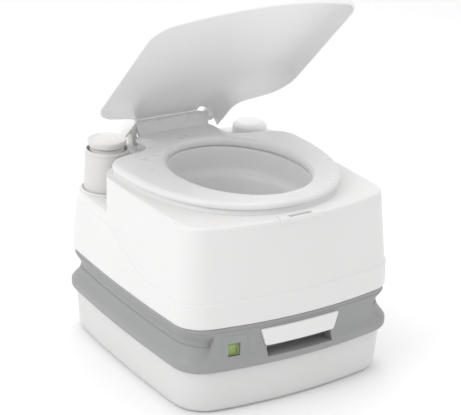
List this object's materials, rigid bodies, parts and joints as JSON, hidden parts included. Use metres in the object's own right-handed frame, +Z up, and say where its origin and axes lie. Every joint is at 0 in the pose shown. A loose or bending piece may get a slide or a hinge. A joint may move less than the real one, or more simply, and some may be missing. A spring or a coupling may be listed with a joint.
{
  "type": "portable camp toilet",
  "caption": "Free-standing two-tank camp toilet with hinged seat and lid, bellows flush pump, water filler, slide valve handle, level gauge and swivelling pour spout.",
  "frame": {"origin": "centre of the footprint, on the ground", "axes": "+Z up, front with the pull handle towards -Y, +X to the right seen from the front"},
  "size_m": [0.383, 0.427, 0.5893],
  "materials": {
    "white_shell": "satin white moulded polyethylene, fine texture",
    "white_lid": "gloss white moulded plastic",
    "seat_plastic": "smooth gloss plastic",
    "bowl_plastic": "smooth gloss light grey plastic",
    "grey_shell": "fine-textured mid grey moulded plastic",
    "pump_plastic": "warm off-white plastic",
    "inner_plastic": "plain natural plastic",
    "handle_plastic": "satin white plastic",
    "blade_steel": "brushed stainless sheet",
    "screw_steel": "stainless",
    "black_rubber": "soft black rubber",
    "clear_window": "clear polycarbonate",
    "green_flag": "bright green plastic"
  },
  "bodies": {
    "waste_tank": {"waste_tank": "white_shell", "tank_collar": "grey_shell", "valve_neck": "inner_plastic", "valve_frame": "inner_plastic", "valve_screws": "screw_steel", "lip_seal": "black_rubber", "level_window": "clear_window", "level_bezel": "grey_shell", "float_bracket": "inner_plastic", "float_pin": "screw_steel", "spout_socket": "grey_shell", "vent_housing": "grey_shell", "latch_bracket": "grey_shell", "latch_pin": "screw_steel"},
    "slide_valve": {"valve_blade": "blade_steel", "pull_handle": "handle_plastic", "handle_screws": "screw_steel"},
    "level_gauge": {"float_arm": "inner_plastic", "float_bulb": "inner_plastic", "gauge_flag": "green_flag"},
    "pour_spout": {"pour_spout": "handle_plastic", "spout_ring": "black_rubber"},
    "spout_cap": {"spout_cap": "inner_plastic", "spout_gasket": "black_rubber"},
    "vent_button": {"vent_button": "handle_plastic"},
    "rear_latch": {"rear_latch": "handle_plastic"},
    "flush_tank": {"flush_tank": "white_shell", "bowl": "bowl_plastic", "bowl_gasket": "black_rubber", "front_latch_plate": "handle_plastic", "hinge_brackets": "white_shell", "hinge_pins": "screw_steel", "pump_cylinder": "pump_plastic", "pump_collar": "white_shell", "suction_tube": "inner_plastic", "flush_nozzle": "inner_plastic", "flush_hose": "inner_plastic", "fill_neck": "white_shell"},
    "pump": {"pump_rod": "inner_plastic", "pump_bellows": "pump_plastic", "pump_pad": "pump_plastic"},
    "fill_cap": {"fill_cap": "handle_plastic", "fill_gasket": "black_rubber"},
    "seat": {"seat": "seat_plastic", "seat_hinge_bar": "seat_plastic", "seat_bumpers": "black_rubber"},
    "lid": {"lid": "white_lid", "lid_knuckles": "white_lid"}
  },
  "joints": [
    {"name": "valve_slide", "type": "slide", "parent": "waste_tank", "child": "slide_valve", "axis": [0, -1, 0], "range_m": [0, 0.1]},
    {"name": "gauge_swing", "type": "hinge", "parent": "waste_tank", "child": "level_gauge", "pos_m": [-0.11, -0.165, 0.103], "axis": [1, 0, 0], "range_deg": [0, 20]},
    {"name": "spout_swivel", "type": "hinge", "parent": "waste_tank", "child": "pour_spout", "pos_m": [-0.06, 0.186, 0.1], "axis": [0, 0, 1], "range_deg": [-90, 0]},
    {"name": "spout_cap_turn", "type": "hinge", "parent": "pour_spout", "child": "spout_cap", "pos_m": [-0.122, 0.186, 0.1034], "axis": [-1, 0, 0], "range_deg": [0, 120]},
    {"name": "vent_press", "type": "slide", "parent": "waste_tank", "child": "vent_button", "axis": [0, 0, -1], "range_m": [0, 0.003], "stiffness_N_per_m": 400, "springref_m": -0.003},
    {"name": "rear_latch_swing", "type": "hinge", "parent": "waste_tank", "child": "rear_latch", "pos_m": [0.1, 0.2085, 0.106], "axis": [-1, 0, 0], "range_deg": [0, 10], "stiffness_Nm_per_rad": 0.4, "springref_deg": -20.05},
    {"name": "flush_tank_lift", "type": "slide", "parent": "waste_tank", "child": "flush_tank", "axis": [0, 0, 1], "range_m": [0, 0.12]},
    {"name": "pump_press", "type": "slide", "parent": "flush_tank", "child": "pump", "axis": [0, 0, -1], "range_m": [0, 0.038], "stiffness_N_per_m": 300, "springref_m": -0.012, "deforming": ["pump_bellows"]},
    {"name": "fill_cap_lift", "type": "slide", "parent": "flush_tank", "child": "fill_cap", "axis": [0, 0, 1], "range_m": [0, 0.05]},
    {"name": "seat_hinge", "type": "hinge", "parent": "flush_tank", "child": "seat", "pos_m": [0, 0.19, 0.314], "axis": [-1, 0, 0], "range_deg": [0, 90]},
    {"name": "lid_hinge", "type": "hinge", "parent": "seat", "child": "lid", "pos_m": [0, 0.19, 0.314], "axis": [-1, 0, 0], "range_deg": [-45, 45]}
  ]
}
